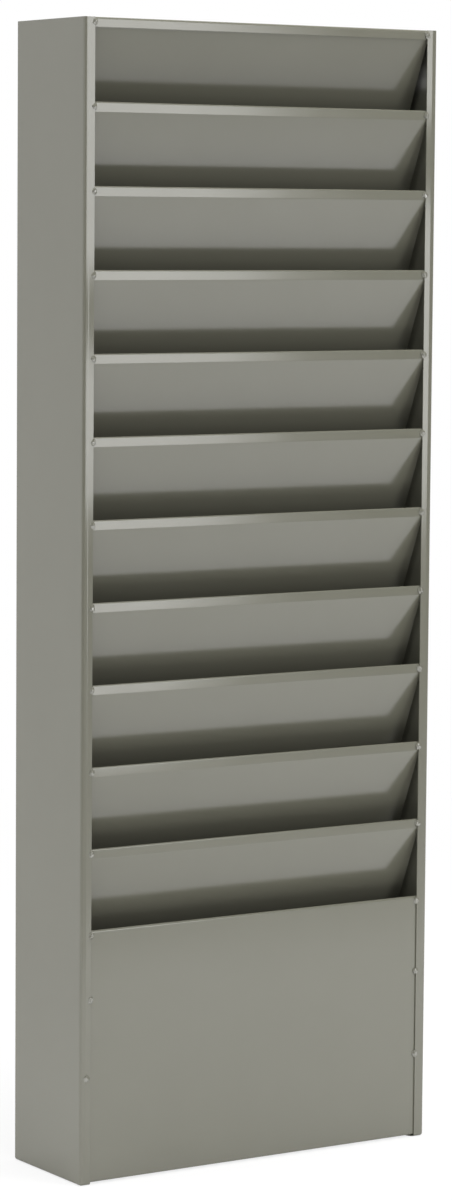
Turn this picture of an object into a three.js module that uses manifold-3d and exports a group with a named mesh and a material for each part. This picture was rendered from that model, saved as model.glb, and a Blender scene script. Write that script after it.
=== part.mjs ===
// Wall rack for medical charts: bent sheet steel, tack welded and powder coated.
// Millimetres, +Z up. The front faces -Y, and the origin is at the middle of the base.

import * as THREE from 'three';
import { mergeVertices } from 'three/addons/utils/BufferGeometryUtils.js';
import Module from 'manifold-3d';

// Driving dimensions of the whole rack
const RACK_WIDTH = 333.4;
const RACK_DEPTH = 104.8;
const RACK_HEIGHT = 914.4;
const POCKET_COUNT = 11;

// Sheet steel and how it is bent and lapped
const SHEET = 0.9;
const BEND_INNER_RADIUS = 0.9;
const SEAM_GAP = 0.3;

// Side panels: a narrow flange in front, and a wider one turned in at the back and at the base
const FRONT_FLANGE = 9.5;
const RETURN_FLANGE = 12.7;

// Dividers: the lip in front, the drop to the pocket's ledge, and the foot on the back panel
const LIP_LAP = 1.6;
const LIP_HEIGHT = 7.6;
const LIP_HEM_GAP = 0.5;
const LIP_HEM_LENGTH = 5.6;
const DIVIDER_DROP = 203.2;
const LEDGE_DEPTH = 15.9;
const FOOT_HEIGHT = 12;

// Top cap and lower front panel
const CAP_REAR_FLANGE = 12;
const PANEL_HEIGHT = 203.2;
const PANEL_HEM_GAP = 1.6;
const PANEL_HEM_LENGTH = 7;
const FLOOR_UPTURN = 12;

// Keyholes in the back panel
const KEYHOLE_SPACING = 203.2;
const KEYHOLE_HEAD_RADIUS = 5.5;
const KEYHOLE_SLOT_WIDTH = 5.2;
const KEYHOLE_SLOT_RISE = 11;
const KEYHOLE_FROM_TOP = 38;
const KEYHOLE_FROM_BASE = 26;

// Tack welds. Those down the lower front panel's sides are placed by hand, so the sides differ.
const TACK_REACH = 5;
const TACK_HEIGHT = 6.4;
const TACK_GAP = 0.1;
const LEFT_PANEL_TACK_DROPS = [55.2, 117.4];
const RIGHT_PANEL_TACK_DROPS = [62.8, 132.7];

// Facets
const BEND_STEP = Math.PI / 8;
const KEYHOLE_SEGMENTS = 12;
const TACK_SEGMENTS = 12;

// Places that follow from the sizes above
const FRONT = -RACK_DEPTH / 2;
const BACK = RACK_DEPTH / 2;
const POCKET_PITCH = (RACK_HEIGHT - PANEL_HEIGHT) / POCKET_COUNT;
const INNER_WIDTH = RACK_WIDTH - 2 * (SHEET + SEAM_GAP);
const LIP_FACE = FRONT + SHEET + SEAM_GAP;
const BACK_PANEL_FRONT = BACK - 2 * SHEET - SEAM_GAP;
const WELD_FLANGE_MIDDLE = BACK_PANEL_FRONT - SEAM_GAP - SHEET / 2;
const FLANGE_EDGE = RACK_WIDTH / 2 - FRONT_FLANGE;
const DIVIDER_WIDTH = 2 * (FLANGE_EDGE + LIP_LAP);
const BEND_MIDDLE_RADIUS = BEND_INNER_RADIUS + SHEET / 2;
const BEND_OUTER_RADIUS = BEND_INNER_RADIUS + SHEET;
const BASE_INSIDE = SHEET + 2 * SEAM_GAP;

const wasm = await Module();
wasm.setup();

function paint() {
  return new THREE.MeshStandardMaterial({ color: 0x8a897f, roughness: 0.42, metalness: 0.0 });
}

const rack = new THREE.Group();

function addPiece(name, geometry) {
  const piece = new THREE.Mesh(geometry, paint());
  piece.name = name;
  rack.add(piece);
  return piece;
}

// Points along a bend, each with the direction that the line runs in there.
function bendPoints(corner, into, away, radius) {
  const turn = Math.atan2(into.cross(away), into.dot(away));
  const side = Math.sign(turn);
  const start = corner.clone().addScaledVector(into, -radius * Math.tan(Math.abs(turn) / 2));
  const centre = start.clone().add(new THREE.Vector2(-into.y, into.x).multiplyScalar(side * radius));
  const steps = Math.max(2, Math.ceil(Math.abs(turn) / BEND_STEP));
  const noShift = new THREE.Vector2(0, 0);
  const bend = [];
  for (let step = 0; step <= steps; step += 1) {
    const angle = (turn * step) / steps;
    const direction = into.clone().rotateAround(noShift, angle);
    bend.push({ at: start.clone().rotateAround(centre, angle), direction });
  }
  return bend;
}

// Outline of a bent sheet. The path is the sheet's middle line, and each inner point carries the
// radius of the bend at that middle line.
function bentSheetOutline(path) {
  const left = [];
  const right = [];
  const addPair = (point, direction) => {
    const offset = new THREE.Vector2(-direction.y, direction.x).multiplyScalar(SHEET / 2);
    left.push(point.clone().add(offset));
    right.push(point.clone().sub(offset));
  };
  const points = path.map((entry) => new THREE.Vector2(entry.at[0], entry.at[1]));
  const last = points.length - 1;
  addPair(points[0], points[1].clone().sub(points[0]).normalize());
  for (let i = 1; i < last; i += 1) {
    const into = points[i].clone().sub(points[i - 1]).normalize();
    const away = points[i + 1].clone().sub(points[i]).normalize();
    for (const bent of bendPoints(points[i], into, away, path[i].radius)) {
      addPair(bent.at, bent.direction);
    }
  }
  addPair(points[last], points[last].clone().sub(points[last - 1]).normalize());
  return new THREE.Shape(dropRepeats([...left, ...right.reverse()]));
}

// Two bends in a row can share a point, which the outline holds once.
function dropRepeats(points) {
  const smallest = SHEET / 1000;
  return points.filter((point, i) => i === 0 || point.distanceTo(points[i - 1]) > smallest);
}

function extrude(shape, depth, curveSegments = KEYHOLE_SEGMENTS) {
  return new THREE.ExtrudeGeometry(shape, { depth, curveSegments, bevelEnabled: false });
}

// A sheet whose profile is drawn as (Y, Z) and runs across the rack, centred on X = 0.
function crossSheet(path, width) {
  const geometry = extrude(bentSheetOutline(path), width);
  geometry.translate(0, 0, -width / 2);
  return geometry.rotateX(Math.PI / 2).rotateZ(Math.PI / 2);
}

// A closed outline in which the corners that carry a radius are rounded.
function roundedOutline(corners) {
  const points = corners.map((corner) => new THREE.Vector2(corner.at[0], corner.at[1]));
  const outline = corners.flatMap(({ radius }, i) => {
    if (radius === undefined) {
      return [points[i]];
    }
    const into = points[i].clone().sub(points[i - 1]).normalize();
    const away = points[i + 1].clone().sub(points[i]).normalize();
    return bendPoints(points[i], into, away, radius).map((bent) => bent.at);
  });
  return new THREE.Shape(outline);
}

// The block that a side panel is folded round: what its plan, front and side outlines have in common.
// With an inset it is the hollow inside the sheet, and runs out through the open side and the top.
function sideBlock(side, inset) {
  const radius = BEND_OUTER_RADIUS - inset;
  const web = side * (RACK_WIDTH / 2 - inset);
  const open = side * (RACK_WIDTH / 2 - RETURN_FLANGE - inset);
  const front = FRONT + inset;
  const back = BACK - inset;
  const top = RACK_HEIGHT + inset;
  const plan = roundedOutline([
    { at: [open, front] },
    { at: [web, front], radius },
    { at: [web, back], radius },
    { at: [open, back] },
  ]);
  const frontView = roundedOutline([
    { at: [open, inset] },
    { at: [web, inset], radius },
    { at: [web, top] },
    { at: [open, top] },
  ]);
  const sideView = roundedOutline([
    { at: [front, top] },
    { at: [front, inset], radius },
    { at: [back, inset], radius },
    { at: [back, top] },
  ]);
  const upright = extrude(plan, top);
  const frontToBack = extrude(frontView, RACK_DEPTH).rotateX(Math.PI / 2).translate(0, BACK, 0);
  const across = extrude(sideView, 2 * RACK_WIDTH).rotateX(Math.PI / 2).rotateZ(Math.PI / 2);
  across.translate(-RACK_WIDTH, 0, 0);
  return toManifold(upright).intersect(toManifold(frontToBack)).intersect(toManifold(across));
}

// Side panel: one sheet folded like a shallow pan, with its front flange trimmed narrower.
function sidePanel(side) {
  const trim = new THREE.BoxGeometry(RETURN_FLANGE, 2 * BEND_OUTER_RADIUS, 3 * RACK_HEIGHT);
  trim.translate(side * (FLANGE_EDGE - RETURN_FLANGE / 2), FRONT, 0);
  const folded = sideBlock(side, 0).subtract(sideBlock(side, SHEET));
  return toGeometry(folded.subtract(toManifold(trim)));
}

// Keyhole: the screw head enters the round end, and the shank rides up the slot as the rack drops.
function keyhole(x, z) {
  const half = KEYHOLE_SLOT_WIDTH / 2;
  const shoulder = Math.sqrt(KEYHOLE_HEAD_RADIUS ** 2 - half ** 2);
  const corner = Math.atan2(shoulder, half);
  const hole = new THREE.Path();
  hole.moveTo(x + half, z + shoulder);
  hole.lineTo(x + half, z + KEYHOLE_SLOT_RISE);
  hole.absarc(x, z + KEYHOLE_SLOT_RISE, half, 0, Math.PI, false);
  hole.lineTo(x - half, z + shoulder);
  hole.absarc(x, z, KEYHOLE_HEAD_RADIUS, Math.PI - corner, corner, false);
  return hole;
}

function backPanel() {
  const half = INNER_WIDTH / 2;
  const top = RACK_HEIGHT - SHEET - SEAM_GAP;
  const sheet = new THREE.Shape();
  sheet.moveTo(-half, BASE_INSIDE);
  sheet.lineTo(half, BASE_INSIDE);
  sheet.lineTo(half, top);
  sheet.lineTo(-half, top);
  sheet.closePath();
  for (const z of [RACK_HEIGHT - KEYHOLE_FROM_TOP, KEYHOLE_FROM_BASE]) {
    for (const side of [-1, 1]) {
      sheet.holes.push(keyhole((side * KEYHOLE_SPACING) / 2, z));
    }
  }
  const geometry = extrude(sheet, SHEET).rotateX(Math.PI / 2);
  return geometry.translate(0, BACK_PANEL_FRONT + SHEET, 0);
}

function topCap() {
  const lipMiddle = LIP_FACE + SHEET / 2;
  const topMiddle = RACK_HEIGHT - SHEET / 2;
  const profile = [
    { at: [lipMiddle, RACK_HEIGHT - LIP_HEIGHT] },
    { at: [lipMiddle, topMiddle], radius: BEND_MIDDLE_RADIUS },
    { at: [WELD_FLANGE_MIDDLE, topMiddle], radius: BEND_MIDDLE_RADIUS },
    { at: [WELD_FLANGE_MIDDLE, RACK_HEIGHT - CAP_REAR_FLANGE] },
  ];
  return crossSheet(profile, INNER_WIDTH);
}

// Slope, ledge and foot, shared by all dividers. The profile starts at the bend under the lip, and the
// charts stand on the ledge.
function slopeAndFoot(lipMiddle, lipTop) {
  const ledge = lipTop - DIVIDER_DROP;
  return [
    { at: [lipMiddle, lipTop - LIP_HEIGHT], radius: BEND_MIDDLE_RADIUS },
    { at: [WELD_FLANGE_MIDDLE - LEDGE_DEPTH, ledge], radius: BEND_MIDDLE_RADIUS },
    { at: [WELD_FLANGE_MIDDLE, ledge], radius: BEND_MIDDLE_RADIUS },
    { at: [WELD_FLANGE_MIDDLE, ledge - FOOT_HEIGHT] },
  ];
}

// The first divider's plain flange stands behind the lip of the top cap.
function firstDivider() {
  const flangeMiddle = LIP_FACE + SHEET + SEAM_GAP + SHEET / 2;
  const flangeTop = RACK_HEIGHT - SHEET - BEND_INNER_RADIUS - SEAM_GAP;
  const profile = [
    { at: [flangeMiddle, flangeTop] },
    ...slopeAndFoot(flangeMiddle, RACK_HEIGHT),
  ];
  return crossSheet(profile, DIVIDER_WIDTH);
}

// A hem: the sheet turns over the top edge and lies behind its own face.
function hem(faceMiddle, top, gap, length) {
  const radius = (gap + SHEET) / 2;
  const foldMiddle = faceMiddle + 2 * radius;
  return [
    { at: [foldMiddle, top - length] },
    { at: [foldMiddle, top - SHEET / 2], radius },
    { at: [faceMiddle, top - SHEET / 2], radius },
  ];
}

function hemmedDivider(lipTop) {
  const lipMiddle = LIP_FACE + SHEET / 2;
  const profile = [
    ...hem(lipMiddle, lipTop, LIP_HEM_GAP, LIP_HEM_LENGTH),
    ...slopeAndFoot(lipMiddle, lipTop),
  ];
  return crossSheet(profile, DIVIDER_WIDTH);
}

function lowerFrontPanel() {
  const faceMiddle = LIP_FACE + SHEET / 2;
  const floorMiddle = BASE_INSIDE + SHEET / 2;
  const profile = [
    ...hem(faceMiddle, PANEL_HEIGHT, PANEL_HEM_GAP, PANEL_HEM_LENGTH),
    { at: [faceMiddle, floorMiddle], radius: BEND_MIDDLE_RADIUS },
    { at: [WELD_FLANGE_MIDDLE, floorMiddle], radius: BEND_MIDDLE_RADIUS },
    { at: [WELD_FLANGE_MIDDLE, floorMiddle + FLOOR_UPTURN] },
  ];
  return crossSheet(profile, INNER_WIDTH);
}

function toManifold(geometry) {
  const bare = geometry.clone();
  bare.deleteAttribute('normal');
  bare.deleteAttribute('uv');
  const merged = mergeVertices(bare);
  const mesh = new wasm.Mesh({
    numProp: 3,
    vertProperties: new Float32Array(merged.attributes.position.array),
    triVerts: new Uint32Array(merged.index.array),
  });
  return new wasm.Manifold(mesh);
}

function toGeometry(solid) {
  const mesh = solid.getMesh();
  const geometry = new THREE.BufferGeometry();
  geometry.setAttribute('position', new THREE.BufferAttribute(new Float32Array(mesh.vertProperties), 3));
  geometry.setIndex(new THREE.BufferAttribute(new Uint32Array(mesh.triVerts), 1));
  return geometry;
}

// Tack weld: a quarter of a flattened bead, in the corner between a lip's face and a flange's edge.
function tackWeld(side, z) {
  const rise = SHEET + SEAM_GAP - TACK_GAP;
  const bead = new THREE.SphereGeometry(1, TACK_SEGMENTS, TACK_SEGMENTS).rotateX(Math.PI / 2);
  bead.scale(TACK_REACH, rise, TACK_HEIGHT / 2);
  const corner = new THREE.BoxGeometry(TACK_REACH, rise, TACK_HEIGHT);
  corner.translate((-side * TACK_REACH) / 2, -rise / 2, 0);
  const geometry = toGeometry(toManifold(bead).intersect(toManifold(corner)));
  return geometry.translate(side * (FLANGE_EDGE - TACK_GAP), LIP_FACE - TACK_GAP, z);
}

function twoDigits(index) {
  return String(index).padStart(2, '0');
}

addPiece('left_side_panel', sidePanel(-1));
addPiece('right_side_panel', sidePanel(1));
addPiece('back_panel', backPanel());
addPiece('top_cap', topCap());
addPiece('divider_01', firstDivider());
for (let row = 1; row < POCKET_COUNT; row += 1) {
  addPiece(`divider_${twoDigits(row + 1)}`, hemmedDivider(RACK_HEIGHT - row * POCKET_PITCH));
}
addPiece('lower_front_panel', lowerFrontPanel());

// One tack at each end of every lip, the rolled top of the lower front panel included
function addTacks(side, word, panelDrops) {
  for (let row = 0; row <= POCKET_COUNT; row += 1) {
    const lipTop = RACK_HEIGHT - row * POCKET_PITCH;
    addPiece(`tack_weld_${word}_${twoDigits(row + 1)}`, tackWeld(side, lipTop - LIP_HEIGHT / 2));
  }
  panelDrops.forEach((drop, i) => {
    addPiece(`panel_tack_weld_${word}_${twoDigits(i + 1)}`, tackWeld(side, PANEL_HEIGHT - drop));
  });
}

addTacks(-1, 'left', LEFT_PANEL_TACK_DROPS);
addTacks(1, 'right', RIGHT_PANEL_TACK_DROPS);

export default rack;
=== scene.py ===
import math

import bmesh
import bpy
from mathutils import Matrix, Vector


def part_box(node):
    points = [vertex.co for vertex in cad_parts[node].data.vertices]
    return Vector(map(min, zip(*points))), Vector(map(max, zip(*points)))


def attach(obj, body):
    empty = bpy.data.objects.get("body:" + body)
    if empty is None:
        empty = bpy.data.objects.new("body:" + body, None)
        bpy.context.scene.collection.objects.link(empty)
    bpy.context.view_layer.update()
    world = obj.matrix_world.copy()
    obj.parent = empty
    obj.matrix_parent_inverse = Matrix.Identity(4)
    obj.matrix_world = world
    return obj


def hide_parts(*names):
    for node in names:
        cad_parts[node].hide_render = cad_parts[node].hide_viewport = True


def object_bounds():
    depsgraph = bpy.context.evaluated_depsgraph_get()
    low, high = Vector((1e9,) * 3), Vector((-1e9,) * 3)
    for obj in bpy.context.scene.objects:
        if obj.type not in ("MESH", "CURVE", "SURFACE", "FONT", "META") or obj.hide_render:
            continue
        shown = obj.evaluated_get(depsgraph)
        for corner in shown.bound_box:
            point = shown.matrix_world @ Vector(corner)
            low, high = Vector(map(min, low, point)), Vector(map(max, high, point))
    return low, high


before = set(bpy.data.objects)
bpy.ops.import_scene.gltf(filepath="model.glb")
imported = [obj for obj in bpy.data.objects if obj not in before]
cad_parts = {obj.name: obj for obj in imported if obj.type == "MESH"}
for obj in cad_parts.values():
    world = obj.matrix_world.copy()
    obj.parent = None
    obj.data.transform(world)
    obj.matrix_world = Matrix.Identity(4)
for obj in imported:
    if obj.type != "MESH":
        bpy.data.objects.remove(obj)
cad_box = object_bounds()

# Side panels
# Two full-height sides of thin cold-rolled steel, folded like shallow pans: a web, a narrow flange in
# front, and wider ones at the base and at the back, the last spot welded to the back panel.

SHEET = 0.0009
SIDE_BEND_RADIUS = 0.0019
BEND_STEPS_PER_QUARTER = 8
FRONT_FLANGE = 0.0095
BASE_CORNER_CUT = 0.006
FLANGE_LEVELS = 64
FLANGE_CREASE = 0.0022
CREASE_HALF_WIDTH = 0.0003
CROWN_FORWARD = 0.00018
CROWN_BACK = 0.00027
LEFT_CROWN = (
    (0.0, 0.0),
    (0.012, 1.0),
    (0.5, 1.0),
    (0.56, 0.35),
    (0.63, 0.35),
    (0.69, 1.0),
    (0.745, 0.3),
    (1.0, 0.2),
)
RIGHT_CROWN = (
    (0.0, 0.0),
    (0.012, 0.2),
    (0.4, 0.3),
    (0.6, 1.0),
    (0.75, 1.0),
    (0.81, 0.2),
    (0.87, 0.9),
    (1.0, 1.0),
)
SQUARELY = 0.9
SHARP_EDGE = math.radians(35)
EDGE_ROUNDING = 0.00028
EDGE_ROUNDING_STEPS = 2
MERGE_DISTANCE = 1e-6
SIDE_SPOT_COUNT = 9
SIDE_SPOT_MARGIN = 0.05
SIDE_SPOT_INSET = 0.0062
SPOT_RADIUS = 0.0028
SPOT_DEPTH = 0.00016
SPOT_SEGMENTS = 24
SPOT_RINGS = 12
PAINT_THIN_COLOUR = (0.149, 0.147, 0.113)
PAINT_FULL_COLOUR = (0.163, 0.161, 0.126)
FILM_SCALE = 16.0
GRAIN_SCALE = 1500.0
GRAIN_SHARE = 0.25
PEEL_SCALE = 620.0
WAVE_SCALE = 7.0
GLOSS_SCALE = 30.0
GLOSS_SPREAD = 0.08
MIX_SHARE_SOCKET = 0
MIX_FIRST_COLOUR_SOCKET = 6
MIX_SECOND_COLOUR_SOCKET = 7
MIX_COLOUR_OUTPUT = 2


def named_piece(name):
    """Names the primitive that was just added, and its mesh."""
    piece = bpy.context.active_object
    piece.name = name
    piece.data.name = name
    return piece


def select_parts(piece, kind, test):
    """Selects the open mesh's vertices, edges or faces that the test picks by place or normal."""
    bpy.ops.mesh.select_all(action="DESELECT")
    mesh = bmesh.from_edit_mesh(piece.data)
    for part in getattr(mesh, kind):
        if test(part):
            part.select_set(True)
    mesh.select_flush_mode()
    bmesh.update_edit_mesh(piece.data)


def delete_faces(piece, test):
    """Deletes the open mesh's faces that the test picks."""
    bpy.ops.mesh.select_mode(type="FACE")
    select_parts(piece, "faces", test)
    bpy.ops.mesh.delete(type="FACE")


def cut_line(x):
    """Cuts an edge line through the whole open mesh at one place across the rack."""
    bpy.ops.mesh.select_all(action="SELECT")
    bpy.ops.mesh.bisect(plane_co=(x, 0, 0), plane_no=(1, 0, 0))


def apply_modifier(piece, kind, **settings):
    """Adds one modifier to the piece and applies it."""
    modifier = piece.modifiers.new(kind.lower(), kind)
    for key, value in settings.items():
        setattr(modifier, key, value)
    bpy.ops.object.select_all(action="DESELECT")
    piece.select_set(True)
    bpy.context.view_layer.objects.active = piece
    bpy.ops.object.modifier_apply(modifier=modifier.name)


def give_thickness(piece):
    """Gives a sheet's middle surface its gauge."""
    apply_modifier(piece, "SOLIDIFY", thickness=SHEET, offset=0, use_even_offset=True)


def round_edges(piece):
    """Softens the sheared edges, as the paint does, and shades flats flat and bends smooth."""
    apply_modifier(
        piece,
        "BEVEL",
        width=EDGE_ROUNDING,
        segments=EDGE_ROUNDING_STEPS,
        limit_method="ANGLE",
        angle_limit=SHARP_EDGE,
    )
    bpy.ops.object.shade_smooth_by_angle(angle=SHARP_EDGE)
    apply_modifier(piece, "WEIGHTED_NORMAL", keep_sharp=True)


def cut_away(piece, cutters):
    """Cuts the cutters' shapes out of the piece, and deletes the cutters."""
    bpy.ops.object.select_all(action="DESELECT")
    for cutter in cutters:
        cutter.select_set(True)
    bpy.context.view_layer.objects.active = cutters[0]
    bpy.ops.object.join()
    joined = bpy.context.active_object
    apply_modifier(piece, "BOOLEAN", operation="DIFFERENCE", solver="EXACT", object=joined)
    bpy.data.objects.remove(joined)


def spot_dent(x, y, z):
    """The shallow round dent that a spot welder's tip leaves in the sheet."""
    bpy.ops.object.select_all(action="DESELECT")
    bpy.ops.mesh.primitive_uv_sphere_add(
        segments=SPOT_SEGMENTS, ring_count=SPOT_RINGS, radius=SPOT_RADIUS, location=(x, y, z)
    )
    dent = bpy.context.active_object
    bpy.ops.object.mode_set(mode="EDIT")
    bpy.ops.transform.resize(value=(1, SPOT_DEPTH / SPOT_RADIUS, 1))
    bpy.ops.object.mode_set(mode="OBJECT")
    bpy.ops.object.transform_apply(location=True)
    return dent


class Wire:
    """One output socket of a node tree. Arithmetic on wires adds Math nodes to the tree."""

    def __init__(self, socket):
        self.socket = socket

    @classmethod
    def node(cls, tree, kind, settings, inputs, output=0):
        """Adds a node with its settings, then its inputs' values or links, and returns one output."""
        made = tree.nodes.new(kind)
        for key, value in settings.items():
            setattr(made, key, value)
        for key, value in inputs.items():
            if isinstance(value, cls):
                tree.links.new(value.socket, made.inputs[key])
            else:
                made.inputs[key].default_value = value
        return cls(made.outputs[output]) if made.outputs else None

    def math(self, operation, first, second):
        """Adds a Math node to this wire's tree."""
        tree = self.socket.id_data
        return Wire.node(tree, "ShaderNodeMath", {"operation": operation}, {0: first, 1: second})

    def __add__(self, other):
        return self.math("ADD", self, other)

    def __radd__(self, other):
        return self.math("ADD", other, self)

    def __sub__(self, other):
        return self.math("SUBTRACT", self, other)

    def __rsub__(self, other):
        return self.math("SUBTRACT", other, self)

    def __mul__(self, other):
        return self.math("MULTIPLY", self, other)

    def __rmul__(self, other):
        return self.math("MULTIPLY", other, self)


def opaque(colour):
    """A colour with full alpha, as a colour socket takes it."""
    return (*colour, 1.0)


def mixed_colour(tree, share, first, second):
    """A colour that goes from the first to the second as the share goes from 0 to 1."""
    inputs = {
        MIX_SHARE_SOCKET: share,
        MIX_FIRST_COLOUR_SOCKET: opaque(first),
        MIX_SECOND_COLOUR_SOCKET: opaque(second),
    }
    return Wire.node(tree, "ShaderNodeMix", {"data_type": "RGBA"}, inputs, MIX_COLOUR_OUTPUT)


def powder_coat(name, roughness, peel_height, wave_height, index):
    """Baked powder paint: an even warm grey, semi-gloss, with a fine orange peel and a slow wave."""
    material = bpy.data.materials.new(name)
    material.use_nodes = True
    tree = material.node_tree
    tree.nodes.clear()
    place = Wire.node(tree, "ShaderNodeTexCoord", {}, {}, "Object")

    def noise(scale, detail):
        """Soft noise over the piece, with spots about 1 / scale metres apart."""
        inputs = {"Vector": place, "Scale": scale, "Detail": detail}
        return Wire.node(tree, "ShaderNodeTexNoise", {}, inputs)

    film = noise(FILM_SCALE, detail=3.0)
    grain = noise(GRAIN_SCALE, detail=1.0)
    shade = film * (1 - GRAIN_SHARE) + grain * GRAIN_SHARE
    colour = mixed_colour(tree, shade, PAINT_THIN_COLOUR, PAINT_FULL_COLOUR)
    peel = noise(PEEL_SCALE, detail=2.0)
    wave = noise(WAVE_SCALE, detail=0.0)
    height = peel * peel_height + wave * wave_height
    bump = Wire.node(
        tree, "ShaderNodeBump", {}, {"Strength": 1.0, "Distance": 1.0, "Height": height}
    )
    gloss = noise(GLOSS_SCALE, detail=2.0) * GLOSS_SPREAD + (roughness - GLOSS_SPREAD / 2)
    surface = Wire.node(
        tree,
        "ShaderNodeBsdfPrincipled",
        {},
        {"Base Color": colour, "Roughness": gloss, "Normal": bump, "IOR": index},
    )
    Wire.node(tree, "ShaderNodeOutputMaterial", {}, {"Surface": surface})
    return material


def paint(piece, material):
    """Coats the whole piece with one paint."""
    piece.data.materials.clear()
    piece.data.materials.append(material)


def trim_front_flange(piece, flange_edge):
    """Cuts the front flange to its width, and moves the base flange's corner back behind it."""
    trimmed = abs(flange_edge) - MERGE_DISTANCE
    cut_line(flange_edge)
    delete_faces(
        piece,
        lambda face: face.normal.y < -SQUARELY and abs(face.calc_center_median().x) < trimmed,
    )
    bpy.ops.mesh.select_mode(type="VERT")
    select_parts(piece, "verts", lambda vertex: vertex.co.y < 0 and abs(vertex.co.x) < trimmed)
    bpy.ops.transform.translate(value=(0, BASE_CORNER_CUT, 0))


def bend_folds(piece, front, flange_edge):
    """Rounds the sharp folds into bends, and deletes the slivers that this leaves at the base corner."""
    bpy.ops.mesh.select_mode(type="EDGE")
    select_parts(
        piece,
        "edges",
        lambda edge: len(edge.link_faces) == 2 and edge.calc_face_angle() > SHARP_EDGE,
    )
    bpy.ops.mesh.bevel(
        offset=SIDE_BEND_RADIUS, segments=BEND_STEPS_PER_QUARTER, affect="EDGES", clamp_overlap=False
    )
    trimmed = abs(flange_edge) - MERGE_DISTANCE
    delete_faces(
        piece,
        lambda face: face.calc_center_median().y < front + BASE_CORNER_CUT / 2
        and abs(face.calc_center_median().x) < trimmed,
    )


def add_levels(piece, height):
    """Divides the long upright edges evenly, so that the front flange can bow."""
    bpy.ops.mesh.select_mode(type="EDGE")
    select_parts(
        piece, "edges", lambda edge: abs(edge.verts[0].co.z - edge.verts[1].co.z) > height / 2
    )
    bpy.ops.mesh.subdivide(number_cuts=FLANGE_LEVELS)


def crown_share(height, crown):
    """How strongly the front flange is bowed at a height, eased between (height, share) pairs."""
    for (low, start), (high, end) in zip(crown, crown[1:]):
        if low <= height <= high:
            share = (height - low) / (high - low)
            return start + (end - start) * share * share * (3 - 2 * share)
    return crown[0][1]


def crown_flange(piece, web, front, flange_edge, crown):
    """Bows the front flange forward up to a crease near its bend, and back from there to its edge."""
    bend_end = abs(web) - SIDE_BEND_RADIUS
    crease = bend_end - FLANGE_CREASE
    for across in (crease - CREASE_HALF_WIDTH, crease, crease + CREASE_HALF_WIDTH):
        cut_line(math.copysign(across, web))
    mesh = bmesh.from_edit_mesh(piece.data)
    for vertex in mesh.verts:
        across = abs(vertex.co.x)
        if vertex.co.y < front + SHEET / 4 and across < bend_end:
            rise = min(1.0, (bend_end - across) / FLANGE_CREASE)
            fall = max(0.0, (crease - across) / (crease - abs(flange_edge)))
            push = fall * (CROWN_FORWARD + CROWN_BACK) - rise * CROWN_FORWARD
            vertex.co.y += push * crown_share(vertex.co.z, crown)
    bmesh.update_edit_mesh(piece.data)


def side_panel(name, node, side, crown):
    """One side: a box opened into a pan, its folds bent, its flange bowed and its spot welds dented."""
    low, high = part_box(node)
    web = side * max(abs(low.x), abs(high.x)) - side * SHEET / 2
    open_edge = side * min(abs(low.x), abs(high.x))
    front = low.y + SHEET / 2
    back = high.y - SHEET / 2
    base = low.z + SHEET / 2
    flange_edge = web + side * (SHEET / 2 - FRONT_FLANGE)
    bpy.ops.object.select_all(action="DESELECT")
    bpy.ops.mesh.primitive_cube_add(size=1)
    piece = named_piece(name)
    bpy.ops.object.mode_set(mode="EDIT")
    bpy.ops.transform.resize(value=(abs(web - open_edge), back - front, high.z - base))
    middle = ((web + open_edge) / 2, (front + back) / 2, (base + high.z) / 2)
    bpy.ops.transform.translate(value=middle)
    delete_faces(piece, lambda face: face.normal.z > SQUARELY or face.normal.x * side < -SQUARELY)
    trim_front_flange(piece, flange_edge)
    bend_folds(piece, front, flange_edge)
    add_levels(piece, high.z - base)
    crown_flange(piece, web, front, flange_edge, crown)
    bpy.ops.mesh.select_all(action="SELECT")
    bpy.ops.mesh.normals_make_consistent(inside=False)
    bpy.ops.object.mode_set(mode="OBJECT")
    give_thickness(piece)
    dent_x = open_edge + side * SIDE_SPOT_INSET
    step = (high.z - low.z - 2 * SIDE_SPOT_MARGIN) / (SIDE_SPOT_COUNT - 1)
    heights = [low.z + SIDE_SPOT_MARGIN + step * i for i in range(SIDE_SPOT_COUNT)]
    cut_away(piece, [spot_dent(dent_x, high.y, z) for z in heights])
    round_edges(piece)
    paint(piece, sheet_paint)
    return piece


sheet_paint = powder_coat(
    "powder_coat", roughness=0.15, peel_height=0.0000012, wave_height=0.0002, index=1.7
)

left_side = side_panel("left_side", "left_side_panel", -1, LEFT_CROWN)
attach(left_side, "root")
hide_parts("left_side_panel")

right_side = side_panel("right_side", "right_side_panel", 1, RIGHT_CROWN)
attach(right_side, "root")
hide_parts("right_side_panel")

# Back panel
# A flat sheet between the sides, against the inside of their rear flanges. Four punched keyholes
# hang the rack on screws, and rows of spot welds hold the dividers' feet.

KEYHOLE_SPACING = 0.2032
KEYHOLE_HEAD_RADIUS = 0.0055
KEYHOLE_SLOT_RADIUS = 0.0026
KEYHOLE_SLOT_RISE = 0.011
KEYHOLE_FROM_TOP = 0.038
KEYHOLE_FROM_BASE = 0.026
PUNCH_DEPTH = 0.006
PUNCH_SIDES = 40
LEAST_BEND_STEPS = 3
END_GAP = 0.0005
DIVIDER_COUNT = 11
FOOT_HEIGHT = 0.012
FOOT_SPOTS = (-0.132, -0.044, 0.044, 0.132)


def in_rack(point, x=0.0):
    """A sheet profile's (Y, Z) point as a place or a step in the rack."""
    return Vector((x, point.x, point.y))


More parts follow.
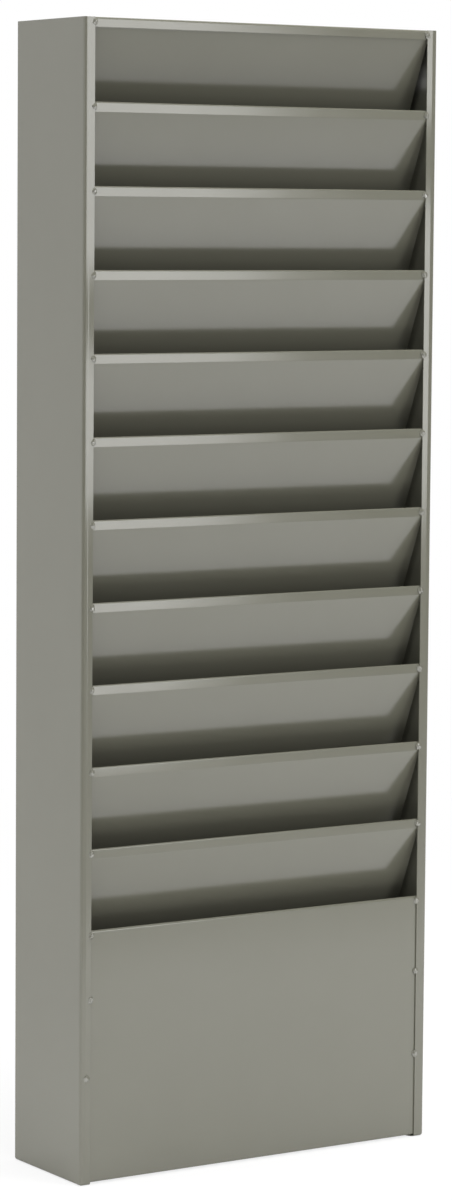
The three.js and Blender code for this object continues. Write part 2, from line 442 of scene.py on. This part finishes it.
def start_edge(name, point, low, high):
    """Starts a sheet as one straight edge across the rack: a plane with its rear edge deleted."""
    length = high - low
    bpy.ops.object.select_all(action="DESELECT")
    bpy.ops.mesh.primitive_plane_add(size=length)
    piece = named_piece(name)
    bpy.ops.object.mode_set(mode="EDIT")
    bpy.ops.mesh.select_mode(type="VERT")
    select_parts(piece, "verts", lambda vertex: vertex.co.y > 0)
    bpy.ops.mesh.delete(type="VERT")
    bpy.ops.mesh.select_all(action="SELECT")
    edge_middle = Vector((0, -length / 2, 0))
    bpy.ops.transform.translate(value=in_rack(point, (low + high) / 2) - edge_middle)
    return piece


def pull_edge(start, end):
    """Pulls the selected edge straight on, if it has any way to go."""
    if (end - start).length > MERGE_DISTANCE:
        step = in_rack(end - start)
        bpy.ops.mesh.extrude_region_move(TRANSFORM_OT_translate={"value": step})


def folded_sheet(name, profile, radii, low, high):
    """A sheet of even gauge, pulled from one edge along its (Y, Z) profile and turned at each fold."""
    points = [Vector(point) for point in profile]
    piece = start_edge(name, points[0], low, high)
    bpy.ops.mesh.select_mode(type="EDGE")
    bpy.ops.mesh.select_all(action="SELECT")
    reached = points[0]
    for before, corner, after, radius in zip(points, points[1:], points[2:], radii):
        into = (corner - before).normalized()
        away = (after - corner).normalized()
        turn = math.atan2(into.cross(away), into.dot(away))
        side = math.copysign(1.0, turn)
        setback = radius * math.tan(abs(turn) / 2)
        fold_start = corner - into * setback
        fold_end = corner + away * setback
        centre = in_rack(fold_start + Vector((-into.y, into.x)) * side * radius)
        pull_edge(reached, fold_start)
        quarters = abs(turn) / (math.pi / 2)
        steps = max(LEAST_BEND_STEPS, math.ceil(BEND_STEPS_PER_QUARTER * quarters))
        bpy.ops.mesh.spin(steps=steps, angle=-turn, center=centre, axis=(1, 0, 0))
        reached = fold_end
    pull_edge(reached, points[-1])
    bpy.ops.mesh.select_all(action="SELECT")
    bpy.ops.mesh.remove_doubles(threshold=MERGE_DISTANCE)
    bpy.ops.mesh.normals_make_consistent(inside=False)
    bpy.ops.object.mode_set(mode="OBJECT")
    give_thickness(piece)
    return piece


def punch(x, y, z, radius, drop):
    """A round punch, with its lower half pulled down by the drop to make a slot."""
    bpy.ops.object.select_all(action="DESELECT")
    bpy.ops.mesh.primitive_cylinder_add(
        vertices=PUNCH_SIDES,
        radius=radius,
        depth=PUNCH_DEPTH,
        location=(x, y, z),
        rotation=(math.pi / 2, 0, 0),
    )
    cutter = bpy.context.active_object
    bpy.ops.object.transform_apply(location=True, rotation=True)
    bpy.ops.object.mode_set(mode="EDIT")
    bpy.ops.mesh.select_mode(type="VERT")
    select_parts(cutter, "verts", lambda vertex: vertex.co.z < z - MERGE_DISTANCE)
    bpy.ops.transform.translate(value=(0, 0, -drop))
    bpy.ops.object.mode_set(mode="OBJECT")
    return cutter


back_low, back_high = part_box("back_panel")
back_middle = (back_low.y + back_high.y) / 2
back_sheet = folded_sheet(
    "back_sheet",
    [(back_middle, back_low.z), (back_middle, back_high.z)],
    [],
    back_low.x + END_GAP,
    back_high.x - END_GAP,
)
rack_top = cad_box[1][2]
keyhole_places = [
    (side * KEYHOLE_SPACING / 2, z)
    for z in (rack_top - KEYHOLE_FROM_TOP, KEYHOLE_FROM_BASE)
    for side in (-1, 1)
]
cut_away(
    back_sheet,
    [punch(x, back_middle, z, KEYHOLE_HEAD_RADIUS, 0) for x, z in keyhole_places],
)
cut_away(
    back_sheet,
    [
        punch(x, back_middle, z + KEYHOLE_SLOT_RISE, KEYHOLE_SLOT_RADIUS, KEYHOLE_SLOT_RISE)
        for x, z in keyhole_places
    ],
)
foot_heights = [
    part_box(f"divider_{row:02d}")[0].z + FOOT_HEIGHT / 2 for row in range(1, DIVIDER_COUNT + 1)
]
cut_away(
    back_sheet,
    [spot_dent(x, back_high.y, z) for z in foot_heights for x in FOOT_SPOTS],
)
round_edges(back_sheet)
paint(back_sheet, sheet_paint)
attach(back_sheet, "root")
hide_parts("back_panel")

# Top cap
# One folded sheet that closes the top between the sides: a lip turned down in front, the flat top,
# and a flange turned down at the back that is spot welded to the back panel.

BEND_RADIUS = 0.00135
CAP_REAR_FLANGE = 0.012
LIP_HEIGHT = 0.0076

cap_low, cap_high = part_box("top_cap")
cap_lip = cap_low.y + SHEET / 2
cap_back = cap_high.y - SHEET / 2
cap_top = cap_high.z - SHEET / 2
cap_sheet = folded_sheet(
    "cap_sheet",
    [
        (cap_lip, cap_high.z - LIP_HEIGHT),
        (cap_lip, cap_top),
        (cap_back, cap_top),
        (cap_back, cap_high.z - CAP_REAR_FLANGE),
    ],
    [BEND_RADIUS] * 2,
    cap_low.x + END_GAP,
    cap_high.x - END_GAP,
)
round_edges(cap_sheet)
paint(cap_sheet, sheet_paint)
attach(cap_sheet, "root")
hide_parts("top_cap")

# Dividers
# Eleven sloping sheets that make the pockets. Each leans back from a hemmed lip, lapped behind the sides'
# front flanges, to a narrow ledge and a foot on the back panel. The first has a plain flange for a lip,
# behind the cap's own.

HEM_GAP = 0.0005
HEM_LENGTH = 0.0056
LEDGE_DEPTH = 0.0159


def slope_and_foot(face, back, top, bottom):
    """The part of the profile below the lip: the slope, the ledge and the foot."""
    ledge = bottom + FOOT_HEIGHT
    return [(face, top - LIP_HEIGHT), (back - LEDGE_DEPTH, ledge), (back, ledge), (back, bottom)]


def hem(face, top, gap, length):
    """The part of the profile that turns over the top edge and lies behind the face."""
    behind = face + gap + SHEET
    return [(behind, top - length), (behind, top - SHEET / 2), (face, top - SHEET / 2)]


def copied_piece(original, name, rise):
    """A copy with its own mesh, moved up in the mesh itself."""
    copy = original.copy()
    copy.data = original.data.copy()
    copy.name = name
    copy.data.name = name
    copy.data.transform(Matrix.Translation((0, 0, rise)))
    bpy.context.scene.collection.objects.link(copy)
    return copy


first_low, first_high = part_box("divider_01")
first_face = first_low.y + SHEET / 2
first_divider = folded_sheet(
    "divider_sheet_01",
    [
        (first_face, first_high.z),
        *slope_and_foot(first_face, first_high.y - SHEET / 2, rack_top, first_low.z),
    ],
    [BEND_RADIUS] * 3,
    first_low.x,
    first_high.x,
)
round_edges(first_divider)
paint(first_divider, sheet_paint)
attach(first_divider, "root")
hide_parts("divider_01")

hemmed_low, hemmed_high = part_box("divider_02")
hemmed_face = hemmed_low.y + SHEET / 2
hem_radius = (HEM_GAP + SHEET) / 2
hemmed_divider = folded_sheet(
    "divider_sheet_02",
    [
        *hem(hemmed_face, hemmed_high.z, HEM_GAP, HEM_LENGTH),
        *slope_and_foot(hemmed_face, hemmed_high.y - SHEET / 2, hemmed_high.z, hemmed_low.z),
    ],
    [hem_radius] * 2 + [BEND_RADIUS] * 3,
    hemmed_low.x,
    hemmed_high.x,
)
round_edges(hemmed_divider)
paint(hemmed_divider, sheet_paint)

lower_dividers = []
for row in range(3, DIVIDER_COUNT + 1):
    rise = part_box(f"divider_{row:02d}")[1].z - hemmed_high.z
    lower_dividers.append(copied_piece(hemmed_divider, f"divider_sheet_{row:02d}", rise))
for row, sheet in enumerate([hemmed_divider, *lower_dividers], start=2):
    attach(sheet, "root")
    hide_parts(f"divider_{row:02d}")

# Lower front panel
# One folded sheet: the front of the lowest pocket with a rolled top edge, the rack's floor, and a
# flange turned up at the back that is spot welded to the back panel.

PANEL_HEM_GAP = 0.0016
PANEL_HEM_LENGTH = 0.007
FLOOR_UPTURN = 0.012

panel_low, panel_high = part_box("lower_front_panel")
panel_face = panel_low.y + SHEET / 2
panel_back = panel_high.y - SHEET / 2
panel_floor = panel_low.z + SHEET / 2
panel_hem_radius = (PANEL_HEM_GAP + SHEET) / 2
front_panel_sheet = folded_sheet(
    "front_panel_sheet",
    [
        *hem(panel_face, panel_high.z, PANEL_HEM_GAP, PANEL_HEM_LENGTH),
        (panel_face, panel_floor),
        (panel_back, panel_floor),
        (panel_back, panel_floor + FLOOR_UPTURN),
    ],
    [panel_hem_radius] * 2 + [BEND_RADIUS] * 2,
    panel_low.x + END_GAP,
    panel_high.x - END_GAP,
)
round_edges(front_panel_sheet)
paint(front_panel_sheet, sheet_paint)
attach(front_panel_sheet, "root")
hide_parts("lower_front_panel")

# Tack welds
# Small beads of weld metal, painted over, where each lip's end meets the edge of a side's flange,
# and twice more down each side of the lower front panel. Each was laid by hand, so no two are alike.

LIP_COUNT = DIVIDER_COUNT + 1
PANEL_BEADS_PER_SIDE = 2
BEAD_REACH = 0.0029
BEAD_RISE = 0.0021
BEAD_HALF_HEIGHT = 0.0031
BEAD_SEGMENTS = 12
BEAD_RINGS = 8
BEAD_SMOOTHING = 2
BEAD_OVER_FLANGE = 0.0003
BEADS_ON_FLANGE = {"panel_tack_weld_left_02": 0.0036}
BEAD_STEP_UP = 0.0009
BEAD_LUMP = 0.0006
BEAD_LUMP_UNIFORM = 0.4
BEAD_LUMP_OUTWARD = 0.8
LEFT_FIRST_SEED = 0
RIGHT_FIRST_SEED = 40

bead_paint = powder_coat(
    "painted_weld", roughness=0.08, peel_height=0.000001, wave_height=0.0, index=2.3
)


def bead(name, node, side, seed):
    """One bead: a ball flattened onto the joint, dented here and there, and smoothed over."""
    low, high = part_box(node)
    edge = high.x if side > 0 else low.x
    middle = Vector((edge + side * BEAD_OVER_FLANGE, high.y, (low.z + high.z) / 2))
    if node in BEADS_ON_FLANGE:
        middle += Vector((side * BEADS_ON_FLANGE[node], -BEAD_STEP_UP, 0))
    bpy.ops.object.select_all(action="DESELECT")
    bpy.ops.mesh.primitive_uv_sphere_add(
        segments=BEAD_SEGMENTS, ring_count=BEAD_RINGS, radius=1, location=middle
    )
    piece = named_piece(name)
    bpy.ops.object.mode_set(mode="EDIT")
    bpy.ops.transform.resize(value=(BEAD_REACH, BEAD_RISE, BEAD_HALF_HEIGHT))
    bpy.ops.transform.vertex_random(
        offset=BEAD_LUMP, uniform=BEAD_LUMP_UNIFORM, normal=BEAD_LUMP_OUTWARD, seed=seed
    )
    bpy.ops.object.mode_set(mode="OBJECT")
    bpy.ops.object.transform_apply(location=True)
    apply_modifier(piece, "SUBSURF", levels=BEAD_SMOOTHING, render_levels=BEAD_SMOOTHING)
    bpy.ops.object.shade_smooth()
    paint(piece, bead_paint)
    return piece


for side, word, first_seed in ((-1, "left", LEFT_FIRST_SEED), (1, "right", RIGHT_FIRST_SEED)):
    nodes = [f"tack_weld_{word}_{row:02d}" for row in range(1, LIP_COUNT + 1)]
    nodes += [f"panel_tack_weld_{word}_{row:02d}" for row in range(1, PANEL_BEADS_PER_SIDE + 1)]
    for seed, node in enumerate(nodes, start=first_seed):
        weld = bead(node.replace("tack_weld", "bead"), node, side, seed)
        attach(weld, "root")
        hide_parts(node)

# Studio
# The rack stands on a pale floor against white. The floor is painted darker well in front of the rack, as
# painted shade, and away from the rack it glows white in the rack's reflections, as a painted reflection.
# A tall soft light stands in front, to the right, a wide one hangs above, the white backdrop lights the
# sides, and the room behind the camera is dim.

WHITE = (1.0, 1.0, 1.0)
FLOOR_SIZE = 60.0
FLOOR_DROP = 0.0002
FLOOR_PALE_COLOUR = (0.92, 0.92, 0.92)
FLOOR_PAINTED_SHADE_COLOUR = (0.45, 0.45, 0.45)
FLOOR_PAINTED_SHADE_TO_PALE = (-0.97, -0.82)
FLOOR_FADE = (0.5, 2.0)
FLOOR_NEAR_WHITE = 0.8
FLOOR_FAR_WHITE = 1.0
# Where the floor glows white in reflections, as a painted reflection: from its front part back, and away
# from the rack's foot.
REFLECTION_GLOW_FROM_FRONT = (-0.9, 0.5)
REFLECTION_GLOW_FROM_RACK = (0.2, 1.0)
ROOM_FRONT_STRENGTH = 0.25
ROOM_BACK_STRENGTH = 1.35
BACKDROP_BEHIND = 0.8
BACKDROP_LEFT = 0.6
BACKDROP_LOW = 0.5
BACKDROP_EDGE = (-0.4, 0.5)
TOP_LIGHT_SIZE = 2.4
TOP_LIGHT_POWER = 92.0
TOP_LIGHT_PLACE = (0.3, -0.8, 2.6)
FRONT_LIGHT_WIDTH = 0.5
FRONT_LIGHT_HEIGHT = 1.5
FRONT_LIGHT_POWER = 7.3
FRONT_LIGHT_PLACE = (0.75, -1.55, 0.82)


def along(tree, place, axis):
    """One coordinate of a place or a direction."""
    return Wire.node(tree, "ShaderNodeSeparateXYZ", {}, {"Vector": place}, axis)


def smooth_step(tree, value, ends, low=0.0, high=1.0):
    """A smooth step from low to high as the value goes from one end to the other."""
    start, end = ends
    inputs = {"Value": value, "From Min": start, "From Max": end, "To Min": low, "To Max": high}
    return Wire.node(tree, "ShaderNodeMapRange", {"interpolation_type": "SMOOTHSTEP"}, inputs)


def light_path(tree, kind):
    """1 for the kind of ray that is asked for, and 0 for the rest."""
    return Wire.node(tree, "ShaderNodeLightPath", {}, {}, kind)


bpy.ops.object.select_all(action="DESELECT")
bpy.ops.mesh.primitive_plane_add(size=FLOOR_SIZE, location=(0, 0, -FLOOR_DROP))
floor = bpy.context.active_object
floor.name = "floor"
floor_paint = bpy.data.materials.new("floor_paint")
floor_paint.use_nodes = True
floor_tree = floor_paint.node_tree
floor_tree.nodes.clear()
floor_place = Wire.node(floor_tree, "ShaderNodeTexCoord", {}, {}, "Object")
floor_depth = along(floor_tree, floor_place, "Y")
floor_away = Wire.node(
    floor_tree, "ShaderNodeVectorMath", {"operation": "LENGTH"}, {0: floor_place}, "Value"
)
# Painted shade: the floor's colour turns from pale to dim well in front of the rack, so that what the
# rack's gloss reflects there, and the light bounced from there, are darker.
floor_past_painted_shade = smooth_step(floor_tree, floor_depth, FLOOR_PAINTED_SHADE_TO_PALE)
floor_colour_with_painted_shade = mixed_colour(floor_tree, floor_past_painted_shade, FLOOR_PAINTED_SHADE_COLOUR, FLOOR_PALE_COLOUR)
floor_matt = Wire.node(floor_tree, "ShaderNodeBsdfDiffuse", {}, {"Color": floor_colour_with_painted_shade})
floor_white = Wire.node(
    floor_tree, "ShaderNodeEmission", {}, {"Color": opaque(WHITE), "Strength": 1.0}
)
floor_share = smooth_step(floor_tree, floor_away, FLOOR_FADE, FLOOR_NEAR_WHITE, FLOOR_FAR_WHITE)
floor_seen = light_path(floor_tree, "Is Camera Ray")
# Painted reflection: to glossy rays the floor glows white, except well in front of the rack and close to
# its foot.
floor_glow_in_reflections = (
    light_path(floor_tree, "Is Glossy Ray")
    * smooth_step(floor_tree, floor_depth, REFLECTION_GLOW_FROM_FRONT)
    * smooth_step(floor_tree, floor_away, REFLECTION_GLOW_FROM_RACK)
)
floor_mix = Wire.node(
    floor_tree,
    "ShaderNodeMixShader",
    {},
    {0: (floor_seen + floor_glow_in_reflections) * floor_share, 1: floor_matt, 2: floor_white},
)
Wire.node(floor_tree, "ShaderNodeOutputMaterial", {}, {"Surface": floor_mix})
paint(floor, floor_paint)

room = bpy.data.worlds.new("room")
bpy.context.scene.world = room
room.use_nodes = True
room_tree = room.node_tree
room_tree.nodes.clear()
room_way = Wire.node(room_tree, "ShaderNodeTexCoord", {}, {}, "Generated")
room_behind = (
    along(room_tree, room_way, "Y") * BACKDROP_BEHIND
    - along(room_tree, room_way, "X") * BACKDROP_LEFT
    - along(room_tree, room_way, "Z") * BACKDROP_LOW
)
room_back = smooth_step(room_tree, room_behind, BACKDROP_EDGE)
room_level = room_back * (ROOM_BACK_STRENGTH - ROOM_FRONT_STRENGTH) + ROOM_FRONT_STRENGTH
room_light = Wire.node(
    room_tree, "ShaderNodeBackground", {}, {"Color": opaque(WHITE), "Strength": room_level}
)
room_white = Wire.node(
    room_tree, "ShaderNodeBackground", {}, {"Color": opaque(WHITE), "Strength": 1.0}
)
room_seen = light_path(room_tree, "Is Camera Ray")
room_glossy = light_path(room_tree, "Is Glossy Ray")
room_through = light_path(room_tree, "Is Transmission Ray")
room_share = room_seen + (room_glossy + room_through) * room_back
room_mix = Wire.node(
    room_tree, "ShaderNodeMixShader", {}, {0: room_share, 1: room_light, 2: room_white}
)
Wire.node(room_tree, "ShaderNodeOutputWorld", {}, {"Surface": room_mix})

top_lamp = bpy.data.lights.new("top_light", "AREA")
top_lamp.shape = "SQUARE"
top_lamp.size = TOP_LIGHT_SIZE
top_lamp.energy = TOP_LIGHT_POWER
top_light = bpy.data.objects.new("top_light", top_lamp)
top_light.location = TOP_LIGHT_PLACE
top_light.visible_camera = False
top_light.visible_glossy = False
bpy.context.scene.collection.objects.link(top_light)

front_lamp = bpy.data.lights.new("front_light", "AREA")
front_lamp.shape = "ELLIPSE"
front_lamp.size = FRONT_LIGHT_WIDTH
front_lamp.size_y = FRONT_LIGHT_HEIGHT
front_lamp.energy = FRONT_LIGHT_POWER
front_light = bpy.data.objects.new("front_light", front_lamp)
front_light.location = FRONT_LIGHT_PLACE
front_light.rotation_euler = (math.pi / 2, 0, 0)
front_light.visible_camera = False
bpy.context.scene.collection.objects.link(front_light)

# Camera
# It stands in front of the rack, well to the left, a little above the middle of the rack's upper half.
# Its long lens looks slightly down.

CAMERA_LENS = 115.24
CAMERA_SENSOR_WIDTH = 36.0
CAMERA_PLACE = (-1.6872, -2.6072, 0.7573)
CAMERA_DEGREES = (84.399, -0.4479, -32.8673)

camera_data = bpy.data.cameras.new("camera")
camera_data.lens = CAMERA_LENS
camera_data.sensor_width = CAMERA_SENSOR_WIDTH
camera = bpy.data.objects.new("camera", camera_data)
camera.location = CAMERA_PLACE
camera.rotation_euler = [math.radians(angle) for angle in CAMERA_DEGREES]
bpy.context.scene.collection.objects.link(camera)
bpy.context.scene.camera = camera
bpy.context.scene.view_settings.view_transform = "Standard"
